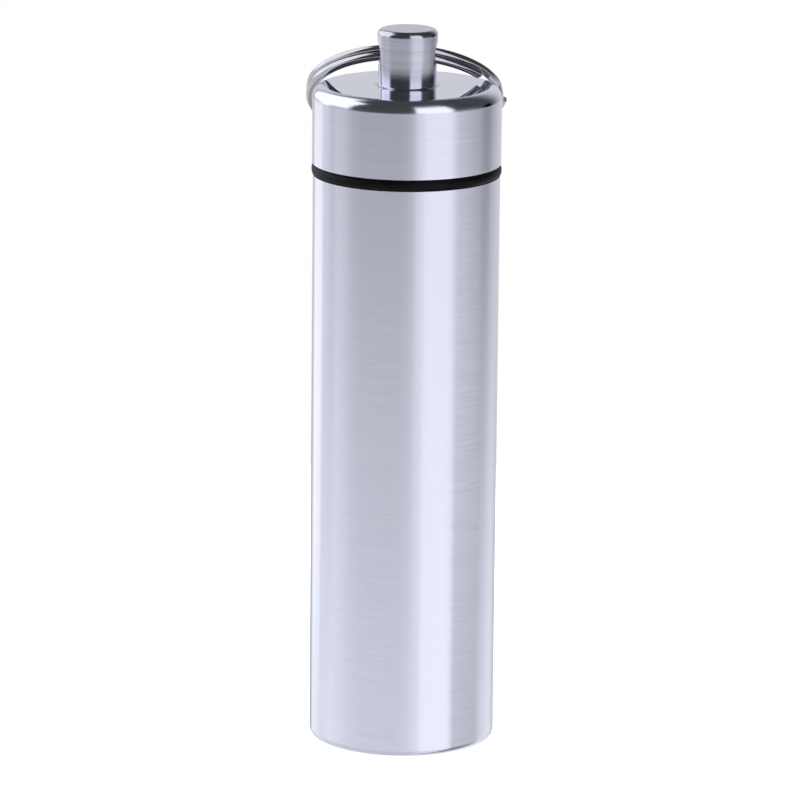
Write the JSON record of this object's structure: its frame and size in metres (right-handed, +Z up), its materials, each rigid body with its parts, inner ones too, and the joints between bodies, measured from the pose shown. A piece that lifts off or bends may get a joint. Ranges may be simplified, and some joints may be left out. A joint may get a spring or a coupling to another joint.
{
  "type": "key-chain pill case",
  "caption": "Slim turned aluminium pill case: a round tube with a threaded screw cap, a rubber seal in the joint line and a split ring through the cap's post for a key chain.",
  "frame": {"origin": "centre of the tube's foot, on the surface that the case stands on", "axes": "+Z up along the tube's axis to the cap; +X along the cross hole of the cap's post; +Y to the side where the split ring rests"},
  "size_m": [0.0238, 0.0297, 0.0853],
  "materials": {
    "tube_aluminium": "satin turned",
    "cap_aluminium": "satin turned, with a bright top edge",
    "seal_rubber": "matte black",
    "ring_steel": "bright nickel plated"
  },
  "bodies": {
    "case": {"tube": "tube_aluminium"},
    "seal": {"o_ring": "seal_rubber"},
    "cap": {"cap": "cap_aluminium"},
    "ring": {"split_ring": "ring_steel"}
  },
  "joints": [
    {"name": "cap_turn", "type": "hinge", "parent": "case", "child": "seal", "pos_m": [0, 0, 0.0687], "axis": [0, 0, 1], "range_deg": [0, 1800]},
    {"name": "cap_lift", "type": "slide", "parent": "seal", "child": "cap", "axis": [0, 0, 1], "range_m": [0, 0.0075]},
    {"name": "ring_swing", "type": "hinge", "parent": "cap", "child": "ring", "pos_m": [0, 0, 0.0824], "axis": [1, 0, 0], "range_deg": [0, 245]}
  ],
  "couplings": [
    {"joint": "cap_lift", "follows": "cap_turn", "m_per_rad": 0.00023873}
  ]
}
